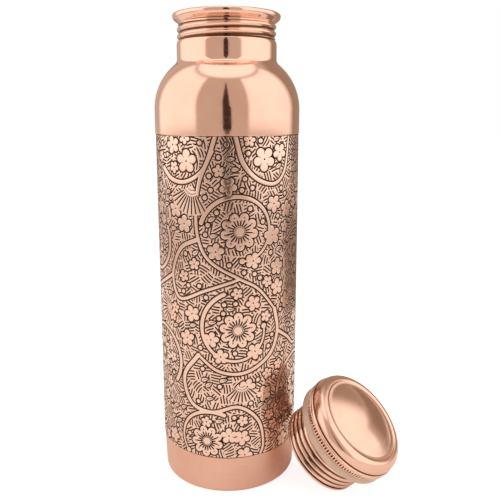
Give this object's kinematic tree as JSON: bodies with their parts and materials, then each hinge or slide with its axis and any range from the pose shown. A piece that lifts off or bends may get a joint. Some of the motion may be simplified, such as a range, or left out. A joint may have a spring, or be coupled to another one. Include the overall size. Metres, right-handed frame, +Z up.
{
  "type": "water bottle",
  "caption": "Tall cylindrical copper water bottle with engraved body, round shoulder, rolled screw mouth and a domed screw lid lying beside it.",
  "frame": {"origin": "centre of the bottle's flat base, on the surface it stands on", "axes": "+Z up the bottle's axis to the mouth, +X to the right, +Y away from the viewer; the lid lies at +X, -Y"},
  "size_m": [0.1311, 0.0948, 0.2495],
  "materials": {
    "engraved_copper": "engraved copper with dark oxidised lines",
    "satin_copper": "satin copper",
    "polished_copper": "polished copper",
    "silicone": "matte pale silicone"
  },
  "bodies": {
    "bottle": {"engraved_body_tube": "engraved_copper", "base_cup": "satin_copper", "shoulder_and_neck": "polished_copper", "threaded_mouth": "polished_copper"},
    "lid_seal": {"lid_gasket": "silicone"},
    "lid": {"lid_threaded_plug": "polished_copper", "lid_knurled_ring": "polished_copper", "lid_crown": "polished_copper"}
  },
  "joints": [
    {"name": "lid_draw", "type": "slide", "parent": "bottle", "child": "lid_seal", "axis": [0.5855, -0.3715, 0.7206], "range_m": [0, 0.15]},
    {"name": "lid_turn", "type": "hinge", "parent": "lid_seal", "child": "lid", "pos_m": [0.05262, -0.01957, 0.01709], "axis": [0.5855, -0.3715, 0.7206], "continuous": true}
  ]
}
